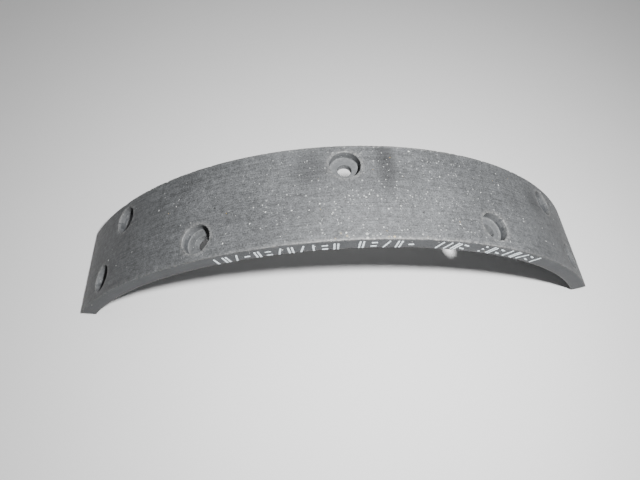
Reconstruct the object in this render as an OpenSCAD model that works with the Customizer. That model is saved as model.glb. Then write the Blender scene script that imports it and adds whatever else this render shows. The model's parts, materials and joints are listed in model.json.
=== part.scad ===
// Riveted-type lining for a drum-brake shoe: one curved strip of moulded
// friction material with counterbored rivet holes and a printed edge.
// The drum's axis runs along Y. The lining stands on its two ends, arch up,
// with the origin under the middle of the arch on the surface it stands on.

/* [Lining] */
// Inner diameter of the brake drum that the outer surface runs against
drum_d = 180; // [150:1:240]
// Width of the lining along the drum's axis
lining_w = 25; // [20:0.5:50]
// Thickness of the new lining
lining_t = 4; // [3.3:0.1:6]
// Length of the lining measured along its outer surface
lining_len = 170; // [140:1:210]
// Bevel on the long edges of the outer surface
edge_break = 0.2; // [0.1:0.1:0.4]
// Bevel on the outer edge of each end
end_break = 0.6; // [0.2:0.1:1]

/* [Rivet holes] */
// Diameter of the hole for a rivet's shank
rivet_hole_d = 3.3; // [2.8:0.1:4.5]
// Diameter of the recess for a rivet's head
recess_d = 7.2; // [6:0.1:8.7]
// Material left under a rivet's head
seat_t = 1.7; // [1.2:0.1:2.2]
// Distance from the middle of each rivet row to its nearer side face
row_edge = 5.5; // [5:0.1:7]
// Distance from an end to the outer hole of the front row, along the arc
front_end_gap = 14.3; // [10:0.1:18]
// Distance from the middle to the inner holes of the front row, along the arc
front_inner_place = 35.3; // [25:0.1:42]
// Distance from an end to the outer hole of the back row, along the arc
back_end_gap = 23; // [18:0.1:30]

/* [Edge marking] */
// Height of a printed mark
mark_h = 3; // [2:0.1:3.4]
// Width of a printed mark
mark_w = 1.6; // [1.2:0.1:2]
// Width of a printed line
line_w = 0.45; // [0.3:0.05:0.6]
// Thickness of the dry ink
ink_t = 0.05; // [0.03:0.01:0.1]
// Bare margin between the ink and the edges of the side face
ink_margin = 0.15; // [0.1:0.05:0.5]

/* [Hidden] */
$fn = 96;

outer_r = drum_d / 2;
inner_r = outer_r - lining_t;
half_angle = arc_angle(lining_len / 2);
// The inner edges of the two ends touch the surface that the lining stands on
axis_z = -inner_r * cos(half_angle);
cut_past = 1;

front_y = row_edge - lining_w / 2;
back_y = lining_w / 2 - row_edge;
front_outer_angle = arc_angle(lining_len / 2 - front_end_gap);
front_inner_angle = arc_angle(front_inner_place);
back_outer_angle = arc_angle(lining_len / 2 - back_end_gap);
// Each hole as [angle from the crown, place across the width]
HOLES = [
    [-front_outer_angle, front_y],
    [-front_inner_angle, front_y],
    [front_inner_angle, front_y],
    [front_outer_angle, front_y],
    [-back_outer_angle, back_y],
    [0, back_y],
    [back_outer_angle, back_y]
];

mark_r = outer_r - lining_t / 2;
// Each printed group as [arc from the crown to the first mark, pitch of the marks,
// lean of the marks in degrees, drop towards the inner edge, kinds of mark]
MARK_GROUPS = [
    [-31, 2.5, 0, 0.7, ["bar", "pair", "slash", "dash", "pair", "dashes", "slash", "pair",
        "slash", "bar", "dashes", "pair"]],
    [2, 2.8, 0, 0.3, ["pair", "dashes", "slash", "pair", "dash"]],
    [20, 2.1, 15, 0.1, ["bar", "bar", "pair", "dashes"]],
    [31.5, 2.6, 15, 0, ["dots", "pair", "dashes", "bar", "pair", "slash", "dashes", "bar"]]
];

// Angle in degrees that an arc on the outer surface takes up
function arc_angle(arc) = arc / outer_r * 180 / PI;

// The lines of one kind of mark, each from one point to another, in a cell
// that is one unit wide and one unit high
function mark_lines(kind) =
    kind == "bar" ? [[[0, -0.5], [0, 0.5]]] :
    kind == "dash" ? [[[-0.4, 0], [0.4, 0]]] :
    kind == "slash" ? [[[-0.35, -0.5], [0.35, 0.5]]] :
    kind == "pair" ? [for (x = [-0.35, 0.35]) [[x, -0.5], [x, 0.5]]] :
    kind == "dashes" ? [for (y = [-0.3, 0.3]) [[-0.4, y], [0.4, y]]] :
    [for (y = [-0.45, 0, 0.45]) [[-0.1, y], [0.1, y]]];

// Puts its children at an angle from the crown, with Z pointing out along the radius
module on_arc(angle) {
    translate([0, 0, axis_z])
        rotate([0, angle, 0])
            children();
}

// The curved strip between its two radial end cuts
module strip() {
    half_w = lining_w / 2;
    translate([0, 0, axis_z])
        rotate([90, 0, 0])
            rotate_extrude(angle = 2 * half_angle, start = 90 - half_angle)
                polygon([
                    [inner_r, -half_w],
                    [outer_r - edge_break, -half_w],
                    [outer_r, edge_break - half_w],
                    [outer_r, half_w - edge_break],
                    [outer_r - edge_break, half_w],
                    [inner_r, half_w]
                ]);
}

// The wedge that bevels the outer edge of one end
module end_bevel(side) {
    on_arc(side * half_angle)
        translate([0, 0, outer_r])
            rotate([0, 45, 0])
                cube([end_break * sqrt(2), lining_w + 2 * cut_past, end_break * sqrt(2)], center = true);
}

// One rivet hole: the shank's hole right through and the head's recess from outside
module rivet_hole(angle, place) {
    on_arc(angle) {
        translate([0, place, inner_r - cut_past])
            cylinder(d = rivet_hole_d, h = lining_t + 2 * cut_past);
        translate([0, place, inner_r + seat_t])
            cylinder(d = recess_d, h = lining_t - seat_t + cut_past);
    }
}

// One line of a mark, with round ends that run half its width past its points
module mark_line(from, to) {
    run = to - from;
    translate((from + to) / 2)
        rotate(atan2(run[1], run[0]))
            square([norm(run), line_w], center = true);
    for (end = [from, to])
        translate(end)
            circle(d = line_w);
}

// One printed mark, flat, with its middle at the origin
module mark(kind) {
    span = [mark_w - line_w, mark_h - line_w];
    for (ends = mark_lines(kind))
        mark_line([ends[0][0] * span[0], ends[0][1] * span[1]],
            [ends[1][0] * span[0], ends[1][1] * span[1]]);
}

// The band of the side face that takes ink
module ink_band() {
    difference() {
        cylinder(r = outer_r - edge_break - ink_margin, h = ink_t);
        translate([0, 0, -cut_past])
            cylinder(r = inner_r + ink_margin, h = ink_t + 2 * cut_past);
    }
}

module friction_lining() {
    color([0.3, 0.31, 0.32])
        difference() {
            strip();
            for (side = [-1, 1])
                end_bevel(side);
            for (hole = HOLES)
                rivet_hole(hole[0], hole[1]);
        }
}

module edge_marking() {
    color([0.85, 0.9, 0.92])
        translate([0, -lining_w / 2, axis_z])
            rotate([90, 0, 0])
                intersection() {
                    ink_band();
                    for (group = MARK_GROUPS)
                        for (i = [0:len(group[4]) - 1])
                            rotate([0, 0, -arc_angle(group[0] + i * group[1])])
                                translate([0, mark_r - group[3], 0])
                                    rotate([0, 0, -group[2]])
                                        linear_extrude(ink_t)
                                            mark(group[4][i]);
                }
}

friction_lining();
edge_marking();
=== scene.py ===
"""A riveted drum-brake lining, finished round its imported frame.

The lining is one curved strip of moulded friction composite. Its outer face is
ground to the drum's radius, seven rivet holes with recesses for the rivet heads
go through it, and a line of printed marks runs along one side face.
"""
import json
import math
import random

import bmesh
import bpy
from bpy.props import (
    FloatProperty,
    FloatVectorProperty,
    IntProperty,
    PointerProperty,
)
from bpy.types import Operator, Panel, PropertyGroup
from mathutils import Matrix, Vector, noise


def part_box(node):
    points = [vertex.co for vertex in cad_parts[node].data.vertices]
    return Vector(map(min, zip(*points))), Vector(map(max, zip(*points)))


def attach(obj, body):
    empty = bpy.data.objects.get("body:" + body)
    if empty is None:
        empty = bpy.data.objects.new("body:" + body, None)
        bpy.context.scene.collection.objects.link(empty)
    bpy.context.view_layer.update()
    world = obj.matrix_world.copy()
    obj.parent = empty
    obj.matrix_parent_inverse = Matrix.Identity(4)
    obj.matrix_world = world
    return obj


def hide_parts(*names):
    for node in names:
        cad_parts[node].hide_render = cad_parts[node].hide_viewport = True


bl_info = {
    "name": "Riveted Drum Brake Lining",
    "version": (1, 0, 0),
    "blender": (4, 5, 0),
    "location": "View3D > Sidebar > Brake Lining",
    "description": "Builds a drum-brake lining with worn edges, mineral grains and a printed edge",
    "category": "Object",
}

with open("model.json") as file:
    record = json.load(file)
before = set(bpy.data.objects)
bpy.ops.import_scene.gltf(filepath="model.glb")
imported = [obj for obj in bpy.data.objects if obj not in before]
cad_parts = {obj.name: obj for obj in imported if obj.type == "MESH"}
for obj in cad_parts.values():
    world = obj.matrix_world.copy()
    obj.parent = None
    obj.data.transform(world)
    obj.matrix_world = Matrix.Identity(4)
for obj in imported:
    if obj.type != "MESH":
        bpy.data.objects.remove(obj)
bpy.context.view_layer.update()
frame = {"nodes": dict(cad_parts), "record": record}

MM = 0.001
BODY = "root"


# ---------------------------------------------------------------- the lining's own sizes

def stated_mount(name):
    """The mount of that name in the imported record."""
    return next(m for m in frame["record"]["mounts"] if m["name"] == name)


def stated_holes():
    """Every rivet hole as a dictionary of its place on the arc, its radius and its seat."""
    holes = []
    for mount in frame["record"]["mounts"]:
        if mount["kind"] == "bore":
            axis = mount["axis"]
            holes.append({
                "angle": math.atan2(axis[0], axis[2]),
                "across": mount["pos_m"][1],
                "radius": mount["dims"]["r_mm"] * MM,
                "seat": mount["dims"]["length_mm"] * MM,
                "place": Vector(mount["pos_m"]),
            })
    return holes


HOLES = stated_holes()
STEEPEST = max(HOLES, key=lambda hole: abs(hole["angle"]))
# The radial lines through the holes meet on the drum's axis
AXIS_Z = STEEPEST["place"].z - STEEPEST["place"].x / math.tan(STEEPEST["angle"])
LOW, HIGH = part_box("friction_lining")
OUTER_R = HIGH.z - AXIS_Z
INNER_R = stated_mount("shoe_seat")["pos_m"][2] - AXIS_Z
THICKNESS = OUTER_R - INNER_R
HALF_WIDTH = (HIGH.y - LOW.y) / 2
# The inner edges of the ends stand on the floor
HALF_ANGLE = math.acos((LOW.z - AXIS_Z) / INNER_R)
HALF_ARC = HALF_ANGLE * OUTER_R


def unroll(point):
    """A point's place along the arc, across the width and below the outer face."""
    up = point.z - AXIS_Z
    return Vector((
        math.atan2(point.x, up) * OUTER_R,
        point.y,
        OUTER_R - math.hypot(point.x, up),
    ))


def roll(flat):
    """The point that an unrolled place stands for."""
    angle = flat.x / OUTER_R
    radius = OUTER_R - flat.z
    return Vector((radius * math.sin(angle), flat.y, AXIS_Z + radius * math.cos(angle)))


def on_arc(angle, radius=0.0, across=0.0):
    """The place at an angle from the crown, with Z out along the radius and X along the arc."""
    return (
        Matrix.Translation((0, across, AXIS_Z))
        @ Matrix.Rotation(angle, 4, "Y")
        @ Matrix.Translation((0, 0, radius))
    )


# ---------------------------------------------------------------- settings

class LiningSizes(PropertyGroup):
    """Sizes of the moulded strip that a user may change."""

    recess_radius: FloatProperty(
        name="Recess radius", description="Radius of the recess for a rivet's head",
        default=3.6 * MM, min=2.5 * MM, max=5 * MM, unit="LENGTH", precision=5)
    edge_round: FloatProperty(
        name="Edge rounding", description="How far the strip's long edges are rounded off",
        default=0.14 * MM, min=0.02 * MM, max=0.5 * MM, unit="LENGTH", precision=5)
    end_round: FloatProperty(
        name="End rounding", description="Radius that the corners of the two ends are rubbed to",
        default=0.85 * MM, min=0.1 * MM, max=1.5 * MM, unit="LENGTH", precision=5)
    chip_depth: FloatProperty(
        name="Chip depth", description="Depth of the deepest chips along the edges",
        default=0.34 * MM, min=0, max=0.8 * MM, unit="LENGTH", precision=5)
    step: FloatProperty(
        name="Mesh step", description="Length of the mesh's faces along the arc",
        default=0.42 * MM, min=0.3 * MM, max=2 * MM, unit="LENGTH", precision=5)
    unevenness: FloatProperty(
        name="Unevenness", description="Height of the slow waves in the moulded faces",
        default=0.02 * MM, min=0, max=0.1 * MM, unit="LENGTH", precision=5)


class GrainSizes(PropertyGroup):
    """Counts and sizes of the grains that show in the composite."""

    mineral_count: IntProperty(
        name="Mineral grains", description="How many pale mineral grains show",
        default=820, min=0, max=3000)
    brass_count: IntProperty(
        name="Brass chips", description="How many brass chips show",
        default=26, min=0, max=300)
    largest: FloatProperty(
        name="Largest grain", description="Radius of the largest mineral grains",
        default=0.31 * MM, min=0.1 * MM, max=1 * MM, unit="LENGTH", precision=5)
    seed: IntProperty(
        name="Seed", description="Start of the random places", default=7, min=0)


class LiningColours(PropertyGroup):
    """Colours of the composite and of what is in and on it."""

    composite: FloatVectorProperty(
        name="Composite", description="Colour of the ground friction composite",
        default=(0.076, 0.079, 0.082), size=3, min=0, max=1, subtype="COLOR")
    skin: FloatVectorProperty(
        name="Moulded skin", description="Colour of the side faces and the shoe side",
        default=(0.052, 0.055, 0.059), size=3, min=0, max=1, subtype="COLOR")
    mineral: FloatVectorProperty(
        name="Mineral", description="Colour of the mineral grains",
        default=(0.39, 0.40, 0.39), size=3, min=0, max=1, subtype="COLOR")
    brass: FloatVectorProperty(
        name="Brass", description="Colour of the brass chips",
        default=(0.62, 0.42, 0.16), size=3, min=0, max=1, subtype="COLOR")
    ink: FloatVectorProperty(
        name="Ink", description="Colour of the printed marks",
        default=(0.78, 0.85, 0.88), size=3, min=0, max=1, subtype="COLOR")
    floor: FloatVectorProperty(
        name="Floor", description="Colour of the studio floor",
        default=(0.8, 0.8, 0.8), size=3, min=0, max=1, subtype="COLOR")


# ---------------------------------------------------------------- material building

class Recipe:
    """One procedural material, built node by node."""

    def __init__(self, name):
        self.material = bpy.data.materials.new(name)
        self.material.use_nodes = True
        self.tree = self.material.node_tree
        self.shader = self.tree.nodes["Principled BSDF"]

    def put(self, socket, value):
        """Links a socket to another one, or gives it a constant."""
        if isinstance(value, bpy.types.NodeSocket):
            self.tree.links.new(value, socket)
        else:
            socket.default_value = value

    def node(self, kind, inputs, **settings):
        """A node of that kind with its settings and its inputs by name or number."""
        made = self.tree.nodes.new(kind)
        for key, value in settings.items():
            setattr(made, key, value)
        for key, value in inputs.items():
            self.put(made.inputs[key], value)
        return made

    def unrolled(self, stretch=(1, 1, 1)):
        """Millimetres along the arc, across the width and below the outer face."""
        place = self.node("ShaderNodeAttribute", {}, attribute_name="unrolled")
        scaled = self.node("ShaderNodeMapping", {"Vector": place.outputs["Vector"], "Scale": stretch})
        return scaled.outputs["Vector"]

    def attribute(self, name):
        """A value that the mesh holds at each point."""
        return self.node("ShaderNodeAttribute", {}, attribute_name=name).outputs["Fac"]

    def noise(self, place, scale, detail=3.0, roughness=0.55, distortion=0.0):
        """Smooth noise from 0 to 1."""
        made = self.node("ShaderNodeTexNoise", {
            "Vector": place, "Scale": scale, "Detail": detail,
            "Roughness": roughness, "Distortion": distortion})
        return made.outputs["Fac"]

    def remap(self, value, low, high, to_low=0.0, to_high=1.0, smooth=False):
        """The value's range low to high carried to another range, and held at its ends."""
        made = self.node("ShaderNodeMapRange", {
            "Value": value, "From Min": low, "From Max": high, "To Min": to_low, "To Max": to_high},
            interpolation_type="SMOOTHSTEP" if smooth else "LINEAR")
        return made.outputs["Result"]

    def math(self, operation, first, second=0.0):
        """Two values joined by an operation."""
        return self.node("ShaderNodeMath", {0: first, 1: second}, operation=operation).outputs[0]

    def product(self, *values):
        """All the values multiplied together."""
        result = values[0]
        for value in values[1:]:
            result = self.math("MULTIPLY", result, value)
        return result

    def mix(self, share, first, second):
        """One colour turning into another."""
        made = self.node("ShaderNodeMix", {0: share, 6: first, 7: second}, data_type="RGBA")
        return made.outputs[2]

    def shade(self, colour, factor):
        """A colour made lighter or darker by a factor."""
        if not isinstance(colour, bpy.types.NodeSocket):
            colour = colour[:3]
        made = self.node("ShaderNodeVectorMath", {0: colour, "Scale": factor}, operation="SCALE")
        return made.outputs["Vector"]

    def specks(self, place, scale, share, size):
        """Round specks, one in some of the cells, from 0 outside to 1 inside."""
        smallest = 0.35 * size
        rim = 0.3 * size
        cells = self.node("ShaderNodeTexVoronoi", {"Vector": place, "Scale": scale})
        split = self.node("ShaderNodeSeparateColor", {"Color": cells.outputs["Color"]})
        chosen = self.math("LESS_THAN", split.outputs["Red"], share)
        reach = self.remap(split.outputs["Green"], 0.0, 1.0, smallest, size)
        inside = self.math("SUBTRACT", reach, cells.outputs["Distance"])
        return self.product(chosen, self.remap(inside, 0.0, rim))

    def spot(self, place, centre, radii):
        """A soft patch round a place, 1 at its middle and 0 at its rim."""
        core = 0.25
        moved = self.node("ShaderNodeMapping", {
            "Vector": place,
            "Location": [-c / r for c, r in zip(centre, radii)],
            "Scale": [1 / r for r in radii]})
        away = self.node("ShaderNodeVectorMath", {0: moved.outputs["Vector"]}, operation="LENGTH")
        return self.remap(away.outputs["Value"], core, 1.0, 1.0, 0.0, smooth=True)

    def bump(self, height, distance, strength=1.0):
        """Relief from a height, in metres for a height of 1."""
        made = self.node("ShaderNodeBump", {
            "Height": height, "Distance": distance, "Strength": strength})
        return made.outputs["Normal"]

    def finish(self, **inputs):
        """Sets the shader's own sockets by their names, with _ for a space, and ends the recipe."""
        for key, value in inputs.items():
            self.put(self.shader.inputs[key.replace("_", " ")], value)
        return self.material


def rgba(colour):
    """A settings colour with full alpha."""
    return (*colour, 1.0)


# Oily smudges on the outer face, each as its place and radii along the arc and across
# the width in millimetres, and its strength
SMUDGES = (
    ((9.5, 7.0), (3.4, 10.5), 1.0),
    ((-8.5, 6.0), (6.0, 6.5), 0.8),
    ((55.0, 5.0), (5.0, 5.0), 0.6),
)
# Radius of such a spot along its third axis, so large that depth makes no difference
THROUGH = 50


def ground_composite(colours):
    """The outer face: fine grinding lines round the drum's axis, specks and smudges, and pale specks
    and edges that are partly painted highlight right of the crown and round the holes.
    """
    r = Recipe("ground_composite")
    place = r.unrolled()
    patches = r.noise(place, 0.07, 3.0, 0.5)
    clumps = r.noise(place, 0.75, 4.0, 0.65)
    grit = r.noise(place, 2.7, 3.0, 0.7)
    lines = r.noise(r.unrolled((0.06, 3.6, 1.0)), 1.0, 4.0, 0.65)
    scratches = r.noise(r.unrolled((0.12, 1.5, 1.0)), 1.0, 2.0, 0.5, 0.6)
    tone = r.product(
        r.remap(patches, 0.3, 0.7, 0.8, 1.18),
        r.remap(clumps, 0.3, 0.7, 0.68, 1.38),
        r.remap(grit, 0.3, 0.7, 0.5, 1.6),
        r.remap(lines, 0.3, 0.7, 0.74, 1.24),
        r.remap(scratches, 0.34, 0.44, 0.84, 1.0))
    smudges = 0.0
    for centre, radii, strength in SMUDGES:
        smudge = r.product(r.spot(place, (*centre, 0), (*radii, THROUGH)), strength)
        smudges = r.math("MAXIMUM", smudge, smudges)
    smudged = r.product(smudges, r.remap(clumps, 0.35, 0.62, 0.25, 1.0))
    tone = r.product(tone, r.remap(smudged, 0.0, 1.0, 1.0, 0.32))
    base = r.shade(rgba(colours.composite), tone)
    # Pale mineral dust, thickest on the right of the crown, where the crowding is painted glint of
    # grains in the highlight
    dust_and_glint_crowd = r.spot(place, (10, -2, 0), (48, 22, THROUGH))
    dust = r.specks(place, 1.25, 0.42, 0.3)
    dust = r.product(dust, r.remap(dust_and_glint_crowd, 0.0, 1.0, 0.14, 0.68))
    base = r.mix(dust, base, rgba(colours.mineral))
    # Pale crumbs and a few tan ones along the front edge right of the crown, partly chipping and partly
    # a painted edge highlight
    crumbled_and_glint = r.spot(place, (6, -12, 0), (17, 2.6, THROUGH))
    crumbs = r.specks(place, 1.0, 0.5, 0.42)
    base = r.mix(r.product(crumbled_and_glint, crumbs, 0.75), base, rgba(colours.mineral))
    tan = r.specks(place, 0.8, 0.2, 0.4)
    base = r.mix(r.product(crumbled_and_glint, tan, 0.7), base, (0.42, 0.34, 0.2, 1))
    # Pale rubbed edges, stronger right of the crown, where they are partly painted edge highlight
    worn = r.product(r.attribute("edge_wear"), r.remap(dust_and_glint_crowd, 0.0, 0.6, 0.3, 1.0))
    # Pale recess rims, partly painted highlight
    worn = r.math("MAXIMUM", worn, r.product(r.attribute("hole_dust_and_highlight"), 0.7))
    rubbed = r.product(worn, r.remap(r.noise(place, 1.3, 3.0, 0.6), 0.38, 0.62))
    base = r.mix(r.product(rubbed, 0.5), base, (0.36, 0.355, 0.34, 1))
    pits = r.specks(place, 0.55, 0.07, 0.16)
    base = r.mix(r.product(pits, 0.7), base, (0.02, 0.02, 0.021, 1))
    height = r.math("ADD", r.product(grit, 0.8), r.product(lines, 0.8))
    height = r.math("SUBTRACT", height, r.product(pits, 2.0))
    return r.finish(
        Base_Color=base,
        Roughness=r.remap(grit, 0.3, 0.7, 0.5, 0.68),
        Normal=r.bump(height, 0.07 * MM))


def moulded_composite(colours):
    """The side faces, ends and shoe side: a sawn and moulded skin with coarser grain."""
    r = Recipe("moulded_composite")
    place = r.unrolled()
    patches = r.noise(place, 0.2, 3.0, 0.5)
    grain = r.noise(place, 2.4, 4.0, 0.65)
    grit = r.noise(place, 7.0, 2.0, 0.6)
    saw = r.noise(r.unrolled((0.12, 0.12, 3.4)), 1.0, 2.0, 0.5)
    tone = r.product(
        r.remap(patches, 0.3, 0.7, 0.88, 1.12),
        r.remap(grain, 0.3, 0.7, 0.8, 1.2),
        r.remap(saw, 0.3, 0.7, 0.9, 1.1))
    base = r.shade(rgba(colours.skin), tone)
    worn = r.attribute("edge_wear")
    rubbed = r.product(worn, r.remap(r.noise(place, 1.6, 3.0, 0.6), 0.45, 0.7))
    base = r.mix(r.product(rubbed, 0.45), base, (0.3, 0.27, 0.24, 1))
    dust = r.specks(place, 1.4, 0.2, 0.22)
    base = r.mix(r.product(dust, 0.4), base, rgba(colours.mineral))
    height = r.math("ADD", grain, r.product(grit, 0.4))
    return r.finish(
        Base_Color=base,
        Roughness=r.remap(grain, 0.3, 0.7, 0.62, 0.8),
        Normal=r.bump(height, 0.06 * MM, 0.8))


def drilled_composite(colours):
    """The walls and floors of the rivet holes: dusty and pale, partly as painted highlight on walls
    that face the light, with turning marks from the cutter.
    """
    r = Recipe("drilled_composite")
    place = r.unrolled()
    grain = r.noise(place, 2.0, 4.0, 0.65)
    turning = r.noise(r.unrolled((1.0, 1.0, 6.0)), 1.0, 2.0, 0.5)
    # A tone up to 1.4 times the composite's colour, partly painted highlight on walls that face the
    # light
    tone = r.product(
        r.remap(grain, 0.3, 0.7, 0.85, 1.4),
        r.remap(turning, 0.3, 0.7, 0.88, 1.12))
    base = r.shade(rgba(colours.composite), tone)
    dust = r.specks(place, 1.6, 0.35, 0.26)
    base = r.mix(r.product(dust, 0.6), base, rgba(colours.mineral))
    # Pale powder near the recess walls and rims, partly painted highlight on walls that face the light
    powder_and_highlight = r.product(r.attribute("hole_dust_and_highlight"), r.remap(r.noise(place, 0.8, 3.0, 0.6), 0.3, 0.7))
    base = r.mix(r.product(powder_and_highlight, 0.2), base, (0.4, 0.4, 0.39, 1))
    return r.finish(
        Base_Color=base,
        Roughness=r.remap(grain, 0.3, 0.7, 0.65, 0.85),
        Normal=r.bump(r.math("ADD", grain, turning), 0.06 * MM, 0.8))


def object_place(r):
    """Object coordinates in millimetres."""
    place = r.node("ShaderNodeTexCoord", {}).outputs["Object"]
    scaled = r.node("ShaderNodeMapping", {"Vector": place, "Scale": (1 / MM,) * 3})
    return scaled.outputs["Vector"]


def mineral_grain(colours):
    """Pale mineral grain, slightly glassy, with its own shade from grain to grain."""
    r = Recipe("mineral_grain")
    place = object_place(r)
    shade = r.noise(place, 0.9, 2.0, 0.5)
    fine = r.noise(place, 9.0, 2.0, 0.5)
    base = r.shade(rgba(colours.mineral), r.remap(shade, 0.4, 0.6, 0.4, 1.4))
    base = r.shade(base, r.remap(fine, 0.3, 0.7, 0.85, 1.1))
    return r.finish(
        Base_Color=base, Roughness=r.remap(fine, 0.3, 0.7, 0.3, 0.5),
        Normal=r.bump(fine, 0.02 * MM, 0.6))


def brass_chip(colours):
    """Brass cuttings, dulled by the grinding."""
    r = Recipe("brass_chip")
    place = object_place(r)
    dull = r.noise(place, 4.0, 3.0, 0.6)
    base = r.shade(rgba(colours.brass), r.remap(dull, 0.3, 0.7, 0.6, 1.2))
    return r.finish(
        Base_Color=base, Metallic=0.85, Roughness=r.remap(dull, 0.3, 0.7, 0.25, 0.5),
        Normal=r.bump(dull, 0.02 * MM, 0.6))


def marking_ink(colours):
    """Printed ink, thin where the composite's grain stood clear of the stamp."""
    r = Recipe("marking_ink")
    place = object_place(r)
    cover = r.remap(r.noise(place, 2.6, 4.0, 0.65), 0.3, 0.46, 0.25, 1.0)
    shade = r.remap(r.noise(place, 0.5, 2.0, 0.5), 0.3, 0.7, 0.88, 1.08)
    base = r.mix(cover, rgba(colours.skin), r.shade(rgba(colours.ink), shade))
    fine = r.noise(place, 6.0, 3.0, 0.6)
    return r.finish(
        Base_Color=base, Roughness=r.remap(fine, 0.3, 0.7, 0.5, 0.7),
        Normal=r.bump(fine, 0.02 * MM, 0.7))


def studio_floor(colours):
    """Plain pale floor with a faint unevenness in its shade."""
    r = Recipe("studio_floor")
    place = object_place(r)
    base = r.shade(rgba(colours.floor), r.remap(r.noise(place, 0.01, 2.0, 0.5), 0.3, 0.7, 0.99, 1.01))
    return r.finish(Base_Color=base, Roughness=0.9, Specular_IOR_Level=0.2)


# ---------------------------------------------------------------- mesh building

def new_piece(name, bm, materials):
    """A mesh object at the origin from a bmesh, linked to the scene."""
    mesh = bpy.data.meshes.new(name)
    bm.to_mesh(mesh)
    bm.free()
    for material in materials:
        mesh.materials.append(material)
    piece = bpy.data.objects.new(name, mesh)
    bpy.context.scene.collection.objects.link(piece)
    return piece


def strip_solid(sizes):
    """The curved strip without holes: a grid of its section, swept round the drum's axis."""
    bm = bmesh.new()
    through = 12
    across = 56
    corner_segments = 2
    end_steps = 8
    # The arc at each end, in radii of its rounding, that is swept in shorter steps
    end_reach = 1.3
    bmesh.ops.create_grid(bm, x_segments=through, y_segments=across, size=0.5)
    bmesh.ops.scale(bm, vec=(THICKNESS, 2 * HALF_WIDTH, 1), verts=bm.verts)
    corners = [v for v in bm.verts if len(v.link_edges) == 2]
    bmesh.ops.bevel(
        bm, geom=corners, offset=sizes.edge_round, segments=corner_segments, profile=0.5,
        affect="VERTICES", material=-1)
    bmesh.ops.translate(bm, vec=((INNER_R + OUTER_R) / 2, 0, 0), verts=bm.verts)
    start = Matrix.Rotation(-HALF_ANGLE - math.pi / 2, 3, "Y")
    bmesh.ops.rotate(bm, cent=(0, 0, 0), matrix=start, verts=bm.verts)
    end_arc = sizes.end_round * end_reach
    middle_arc = 2 * (HALF_ARC - end_arc)
    section = bm.verts[:] + bm.edges[:] + bm.faces[:]
    sweeps = (
        (end_arc, end_steps),
        (middle_arc, round(middle_arc / sizes.step)),
        (end_arc, end_steps))
    for arc, steps in sweeps:
        swept = bmesh.ops.spin(
            bm, geom=section, cent=(0, 0, 0), axis=(0, 1, 0), angle=arc / OUTER_R,
            steps=steps, use_merge=False)
        section = swept["geom_last"]
    bmesh.ops.translate(bm, vec=(0, 0, AXIS_Z), verts=bm.verts)
    bmesh.ops.recalc_face_normals(bm, faces=bm.faces)
    return bm


def hole_cutter(hole, sizes):
    """The space of one rivet hole: shank hole, recess and slightly broken rims."""
    past = 1 * MM
    rim = 0.12 * MM
    fillet = 0.15 * MM
    steps_round = 72
    merge_gap = 0.001 * MM
    floor = INNER_R + hole["seat"]
    recess = sizes.recess_radius
    # The outer face falls away from the hole's middle by this much at the recess's wall
    fall = OUTER_R - math.sqrt(OUTER_R ** 2 - recess ** 2)
    top = OUTER_R - fall - rim
    profile = [
        (0, INNER_R - past), (hole["radius"] + rim + past, INNER_R - past),
        (hole["radius"], INNER_R + rim), (hole["radius"], (INNER_R + floor) / 2),
        (hole["radius"], floor - rim), (hole["radius"] + rim, floor),
        ((hole["radius"] + recess) / 2, floor), (recess - fillet, floor),
        (recess, floor + fillet), (recess, (2 * floor + top) / 3),
        (recess, (floor + 2 * top) / 3), (recess, top),
        (recess + past + rim, top + past + rim), (0, top + past + rim)]
    bm = bmesh.new()
    ring = [bm.verts.new((radius, 0, height)) for radius, height in profile]
    edges = [bm.edges.new(pair) for pair in zip(ring, ring[1:])]
    bmesh.ops.spin(
        bm, geom=ring + edges, cent=(0, 0, 0), axis=(0, 0, 1), angle=2 * math.pi,
        steps=steps_round, use_merge=True)
    bmesh.ops.remove_doubles(bm, verts=bm.verts, dist=merge_gap)
    bmesh.ops.transform(
        bm, matrix=on_arc(hole["angle"], across=hole["across"]), verts=bm.verts)
    bmesh.ops.recalc_face_normals(bm, faces=bm.faces)
    return bm


def cut(piece, cutters):
    """Takes the cutters' spaces out of a piece and keeps the result as its mesh."""
    joined = bmesh.new()
    for cutter in cutters:
        mesh = bpy.data.meshes.new("cutter")
        cutter.to_mesh(mesh)
        cutter.free()
        joined.from_mesh(mesh)
        bpy.data.meshes.remove(mesh)
    tool = new_piece("cutter", joined, [])
    step = piece.modifiers.new("holes", "BOOLEAN")
    step.operation = "DIFFERENCE"
    step.solver = "EXACT"
    step.object = tool
    graph = bpy.context.evaluated_depsgraph_get()
    done = bpy.data.meshes.new_from_object(piece.evaluated_get(graph))
    piece.modifiers.clear()
    old, piece.data = piece.data, done
    bpy.data.meshes.remove(old)
    bpy.data.objects.remove(tool)


def hole_distance(flat):
    """How far an unrolled place is from the middle of its nearest rivet hole."""
    return min(
        math.hypot(flat.x - hole["angle"] * OUTER_R, flat.y - hole["across"])
        for hole in HOLES)


def edge_distance(flat):
    """How far an unrolled place on the strip's surface is from its nearest outside edge."""
    end = HALF_ARC - abs(flat.x)
    side = HALF_WIDTH - abs(flat.y)
    face = min(flat.z, THICKNESS - flat.z)
    return sorted((max(end, 0), max(side, 0), max(face, 0)))[1]


def chip_strength(flat):
    """How strongly the edge is chipped at a place along it, mostly 0 and at most 1."""
    # Each of the four long edges reads its own part of the noise
    side_part = math.copysign(40, flat.y)
    face_part = math.copysign(90, flat.z - THICKNESS / 2)
    key = Vector((flat.x / MM, side_part, face_part))
    small_scale = 0.9
    large_scale = 0.23
    small = noise.noise(key * small_scale)
    large = noise.noise(key * large_scale + Vector((17, 0, 0)))
    untouched = 0.28
    gain = 1.6
    return min(max(small * 0.9 + large * 0.8 - untouched, 0) * gain, 1)


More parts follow.
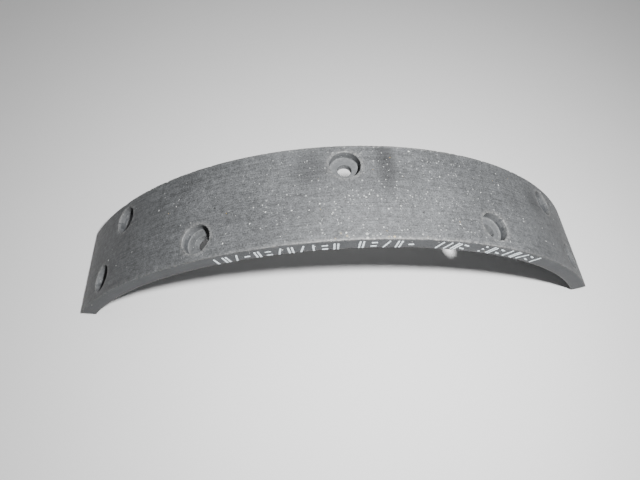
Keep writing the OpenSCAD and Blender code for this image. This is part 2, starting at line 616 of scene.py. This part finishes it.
def rounded(first, second, radius):
    """Two distances from an edge's two faces, once the edge is rounded to a radius."""
    out = Vector((radius - first, radius - second))
    if min(out) <= 0 or out.length <= radius:
        return first, second
    out = out.normalized() * radius
    return radius - out.x, radius - out.y


def rubbed_end(flat, sizes):
    """Where an unrolled place near an end goes when the end's corners are rubbed round."""
    shoe_share = 0.35
    side_share = 0.6
    from_end = HALF_ARC - abs(flat.x)
    from_side = HALF_WIDTH - abs(flat.y)
    on_shoe_side = flat.z > THICKNESS / 2
    from_face = THICKNESS - flat.z if on_shoe_side else flat.z
    face_round = sizes.end_round * (shoe_share if on_shoe_side else 1.0)
    from_end, from_face = rounded(from_end, from_face, face_round)
    from_end, from_side = rounded(from_end, from_side, sizes.end_round * side_share)
    return Vector((
        math.copysign(HALF_ARC - from_end, flat.x),
        math.copysign(HALF_WIDTH - from_side, flat.y),
        THICKNESS - from_face if on_shoe_side else from_face,
    ))


def weather(piece, sizes):
    """Chips the strip's edges, rounds its ends, makes its faces uneven and notes wear, and dust round
    the holes that is partly painted highlight.
    """
    mesh = piece.data
    mesh.attributes.new("unrolled", "FLOAT_VECTOR", "POINT")
    mesh.attributes.new("edge_wear", "FLOAT", "POINT")
    mesh.attributes.new("hole_dust_and_highlight", "FLOAT", "POINT")
    unrolled = mesh.attributes["unrolled"].data
    wear = mesh.attributes["edge_wear"].data
    dust = mesh.attributes["hole_dust_and_highlight"].data
    reach = 0.7 * MM
    rim_reach = 1.1 * MM
    rim_depth = 0.3 * MM
    wall_share = 0.12
    recess_share = 0.995
    wave_size = 2.2 * MM
    rim_grain = 0.8 * MM
    edge_share = 0.4
    rim_share = 0.4
    sink_share = 0.6
    moved = []
    for vertex in mesh.vertices:
        flat = unroll(vertex.co)
        from_hole = hole_distance(flat)
        in_hole = from_hole < sizes.recess_radius * recess_share
        near_edge = 0 if in_hole else max(1 - edge_distance(flat) / reach, 0)
        near_rim = max(1 - abs(from_hole - sizes.recess_radius) / rim_reach, 0)
        if flat.z > rim_depth:
            near_rim = 0
        # Pale dust on the recess walls and rims, partly painted highlight where the walls face the
        # light
        from_wall = 1 - from_hole / sizes.recess_radius
        wall_dust_and_highlight = max(1 - from_wall / wall_share, near_rim)
        chip = chip_strength(flat)
        wave = noise.fractal(vertex.co / wave_size, 1.0, 2.0, 3) * sizes.unevenness
        push = near_edge ** 1.5 * chip * sizes.chip_depth
        push += near_edge ** 3 * sizes.edge_round * edge_share
        rim_chip = max(noise.noise(vertex.co / rim_grain) - 0.1, 0)
        push += near_rim ** 2 * rim_chip * sizes.chip_depth * rim_share
        start = vertex.co if in_hole else roll(rubbed_end(flat, sizes))
        moved.append(start - vertex.normal * (push + wave + sizes.unevenness * sink_share))
        unrolled[vertex.index].vector = flat / MM
        wear[vertex.index].value = near_edge
        # The hole dust is partly painted highlight on walls and rims that face the light
        dust[vertex.index].value = wall_dust_and_highlight if in_hole else near_rim
    for vertex, place in zip(mesh.vertices, moved):
        vertex.co = place
    # What was pushed below the floor line is brought back to it
    for vertex in mesh.vertices:
        vertex.co.z = max(vertex.co.z, LOW.z)


def paint_faces(piece, sizes):
    """Gives each face the finish of the surface it is part of."""
    ground, moulded, drilled = range(3)
    skin = 0.05 * MM
    bored_below = 0.08 * MM
    ground_depth = 0.12 * MM
    side_margin = 0.02 * MM
    for face in piece.data.polygons:
        flat = unroll(face.center)
        if hole_distance(flat) < sizes.recess_radius + skin and flat.z > bored_below:
            on_shoe_side = flat.z > THICKNESS - skin
            face.material_index = moulded if on_shoe_side else drilled
        elif flat.z < ground_depth and abs(flat.y) < HALF_WIDTH - side_margin:
            face.material_index = ground
        else:
            face.material_index = moulded
        face.use_smooth = True


def surface_spot(face, along, across):
    """The place on one of the strip's faces, with Z out of it. Along and across run from -1 to 1."""
    angle = along * HALF_ANGLE
    if face == "outer":
        return on_arc(angle, OUTER_R, across * HALF_WIDTH)
    if face == "shoe":
        return on_arc(angle, INNER_R, across * HALF_WIDTH) @ Matrix.Rotation(math.pi, 4, "X")
    side = -1 if face == "front" else 1
    radius = (INNER_R + OUTER_R) / 2 + across * THICKNESS / 2
    return on_arc(angle, radius, side * HALF_WIDTH) @ Matrix.Rotation(-side * math.pi / 2, 4, "X")


def scatter(draw, count, sizes, grain):
    """Grains set into the strip's faces, most of them in the outer face right of the crown, where their
    crowding is partly painted glint.
    """
    face_shares = {"outer": 70, "shoe": 18, "front": 6, "back": 6}
    # The crowding right of the crown is partly painted glint of grains in the highlight
    crowd_share = 0.65
    crowd_middle = 0.08
    crowd_spread = 0.24
    smallest = 0.26
    flatness = 0.3
    last_along = 0.985
    last_across = 0.96
    bare_margin = 0.1 * MM
    sunk_share = 0.45
    skin_share = 0.9
    bm = bmesh.new()
    made = 0
    while made < count:
        face = draw.choices(list(face_shares), list(face_shares.values()))[0]
        crowded = draw.random() < crowd_share
        along = draw.gauss(crowd_middle, crowd_spread) if crowded else draw.uniform(-1, 1)
        across = draw.uniform(-1, 1)
        size = grain * (smallest + (1 - smallest) * draw.random() ** 3)
        shape = [size * draw.uniform(0.7, 1.3), size * draw.uniform(0.6, 1.1), size * flatness]
        turn = draw.uniform(0, math.tau)
        if abs(along) > last_along or abs(across) > last_across:
            continue
        spot = surface_spot(face, along, across)
        flat = unroll(spot.translation)
        hole_r = sizes.recess_radius if face == "outer" else HOLES[0]["radius"]
        if face in ("outer", "shoe") and hole_distance(flat) < hole_r + size + bare_margin:
            continue
        sunk = spot @ Matrix.Translation((0, 0, -sizes.unevenness * skin_share - shape[2] * sunk_share))
        bmesh.ops.create_icosphere(
            bm, subdivisions=1, radius=1,
            matrix=sunk @ Matrix.Rotation(turn, 4, "Z") @ Matrix.Diagonal((*shape, 1)))
        made += 1
    for face in bm.faces:
        face.smooth = True
    return bm


# ---------------------------------------------------------------- operators

class LINING_OT_friction_strip(Operator):
    """Build the moulded friction strip with its rivet holes"""

    bl_idname = "lining.friction_strip"
    bl_label = "Friction strip"

    def execute(self, context):
        sizes = context.scene.lining_sizes
        colours = context.scene.lining_colours
        finishes = [ground_composite(colours), moulded_composite(colours), drilled_composite(colours)]
        piece = new_piece("friction_strip", strip_solid(sizes), finishes)
        cut(piece, [hole_cutter(hole, sizes) for hole in HOLES])
        weather(piece, sizes)
        paint_faces(piece, sizes)
        piece.data.set_sharp_from_angle(angle=math.radians(38))
        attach(piece, BODY)
        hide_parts("friction_lining")
        return {"FINISHED"}


class LINING_OT_grains(Operator):
    """Set the mineral grains and brass chips into the strip's faces"""

    bl_idname = "lining.grains"
    bl_label = "Grains and chips"

    def execute(self, context):
        sizes = context.scene.lining_sizes
        grains = context.scene.lining_grains
        colours = context.scene.lining_colours
        draw = random.Random(grains.seed)
        minerals = new_piece(
            "mineral_grains",
            scatter(draw, grains.mineral_count, sizes, grains.largest),
            [mineral_grain(colours)])
        brass = new_piece(
            "brass_chips",
            scatter(draw, grains.brass_count, sizes, grains.largest * 0.9),
            [brass_chip(colours)])
        for piece in (minerals, brass):
            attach(piece, BODY)
        return {"FINISHED"}


class LINING_OT_marking(Operator):
    """Give the printed marks their ink"""

    bl_idname = "lining.marking"
    bl_label = "Edge marking"

    def execute(self, context):
        marks = frame["nodes"]["edge_marking"]
        ink = marking_ink(context.scene.lining_colours)
        marks.data.materials.clear()
        marks.data.materials.append(ink)
        return {"FINISHED"}


# Each light on the lining as its name, its place from the crown and its size in
# millimetres, and its power in watts. The key is small and close, so that it throws
# dark crescents in the holes.
LIGHTS = (
    ("key", (24, -45, 108), 9, 0.6),
    ("fill", (20, 200, 880), 450, 0.45),
    ("back", (-80, 420, 80), 260, 0.1),
)
# The lights for the wall, in metres and watts, and the even light from all round
WASH_COUNT = 4
WASH_RADIUS = 0.25
WASH_HEIGHT = 1
WASH_DROP = 0.4
WASH_SIZE = 0.5
WASH_POWER = 0.4
AMBIENT = 0.1
# The camera's place from the crown in millimetres, where it looks and how it is rolled
CAMERA_PLACE = (-11.04, -50.75, 75.1)
CAMERA_HEADING = (0.0488, 0.4565, -0.8884)
CAMERA_ROLL = 2.9
CAMERA_LENS = 23.05
CAMERA_NEAR = 0.005


def area_light(name, place, target, size, power):
    """A square soft light that faces a target."""
    data = bpy.data.lights.new(name, "AREA")
    data.shape = "SQUARE"
    data.size = size
    data.energy = power
    light = bpy.data.objects.new(name, data)
    light.location = place
    light.rotation_mode = "QUATERNION"
    light.visible_camera = False
    light.rotation_quaternion = (Vector(target) - Vector(place)).to_track_quat("-Z", "Y")
    bpy.context.scene.collection.objects.link(light)
    return light


def seamless_floor():
    """A round pale floor whose rim curves up into a wall, so that no horizon shows."""
    flat_radius = 0.7
    curve_radius = 0.5
    wall_top = 1.3
    curve_steps = 12
    steps_round = 96
    merge_gap = 0.01 * MM
    profile = [(0, 0), (flat_radius / 3, 0), (flat_radius, 0)]
    for step in range(1, curve_steps + 1):
        turn = math.pi / 2 * step / curve_steps
        profile.append((
            flat_radius + curve_radius * math.sin(turn), curve_radius * (1 - math.cos(turn))))
    profile.append((flat_radius + curve_radius, wall_top))
    bm = bmesh.new()
    line = [bm.verts.new((radius, 0, height)) for radius, height in profile]
    edges = [bm.edges.new(pair) for pair in zip(line, line[1:])]
    bmesh.ops.spin(
        bm, geom=line + edges, cent=(0, 0, 0), axis=(0, 0, 1), angle=2 * math.pi,
        steps=steps_round, use_merge=True)
    bmesh.ops.remove_doubles(bm, verts=bm.verts, dist=merge_gap)
    bmesh.ops.recalc_face_normals(bm, faces=bm.faces)
    if sum(face.normal.z for face in bm.faces) < 0:
        bmesh.ops.reverse_faces(bm, faces=bm.faces)
    for face in bm.faces:
        face.smooth = True
    return bm


class LINING_OT_stage(Operator):
    """Build the floor, the soft lights and the camera"""

    bl_idname = "lining.stage"
    bl_label = "Studio stage"

    def execute(self, context):
        crown = Vector((0, 0, HIGH.z))
        floor = new_piece("floor", seamless_floor(), [studio_floor(context.scene.lining_colours)])
        for name, place, size, power in LIGHTS:
            area_light(name, crown + Vector(place) * MM, crown, size * MM, power)
        # Lights above the lining that face away from it light the wall round the floor
        for step in range(WASH_COUNT):
            turn = math.radians(45 + 360 / WASH_COUNT * step)
            away = Matrix.Rotation(turn, 3, "Z") @ Vector((1, 0, 0))
            start = away * WASH_RADIUS + Vector((0, 0, WASH_HEIGHT))
            aim = start + away - Vector((0, 0, WASH_DROP))
            area_light(f"wall_wash_{step + 1}", start, aim, WASH_SIZE, WASH_POWER)
        world = bpy.data.worlds.new("studio")
        world.use_nodes = True
        background = world.node_tree.nodes["Background"]
        background.inputs["Color"].default_value = (1, 1, 1, 1)
        background.inputs["Strength"].default_value = AMBIENT
        context.scene.world = world
        lens = bpy.data.cameras.new("camera")
        lens.sensor_width = 36
        lens.lens = CAMERA_LENS
        lens.clip_start = CAMERA_NEAR
        camera = bpy.data.objects.new("camera", lens)
        camera.location = crown + Vector(CAMERA_PLACE) * MM
        heading = Vector(CAMERA_HEADING).to_track_quat("-Z", "Y")
        turned = Matrix.Rotation(math.radians(CAMERA_ROLL), 3, "Z").to_quaternion()
        camera.rotation_mode = "QUATERNION"
        camera.rotation_quaternion = heading @ turned
        context.scene.collection.objects.link(camera)
        context.scene.camera = camera
        return {"FINISHED"}


class LINING_PT_panel(Panel):
    """Lists the lining's settings and build steps"""

    bl_label = "Brake Lining"
    bl_idname = "LINING_PT_panel"
    bl_space_type = "VIEW_3D"
    bl_region_type = "UI"
    bl_category = "Brake Lining"

    def draw(self, context):
        for settings in ("lining_sizes", "lining_grains", "lining_colours"):
            box = self.layout.box()
            group = getattr(context.scene, settings)
            for name in group.__annotations__:
                box.prop(group, name)
        for step in STEPS:
            self.layout.operator(step.bl_idname)


GROUPS = {"lining_sizes": LiningSizes, "lining_grains": GrainSizes, "lining_colours": LiningColours}
STEPS = (LINING_OT_friction_strip, LINING_OT_grains, LINING_OT_marking, LINING_OT_stage)


def register():
    for group in GROUPS.values():
        bpy.utils.register_class(group)
    for name, group in GROUPS.items():
        setattr(bpy.types.Scene, name, PointerProperty(type=group))
    for step in STEPS:
        bpy.utils.register_class(step)
    bpy.utils.register_class(LINING_PT_panel)


def unregister():
    bpy.utils.unregister_class(LINING_PT_panel)
    for step in reversed(STEPS):
        bpy.utils.unregister_class(step)
    for name, group in reversed(GROUPS.items()):
        delattr(bpy.types.Scene, name)
        bpy.utils.unregister_class(group)


def main():
    register()
    bpy.ops.lining.friction_strip()
    bpy.ops.lining.grains()
    bpy.ops.lining.marking()
    bpy.ops.lining.stage()


if __name__ == "__main__":
    main()
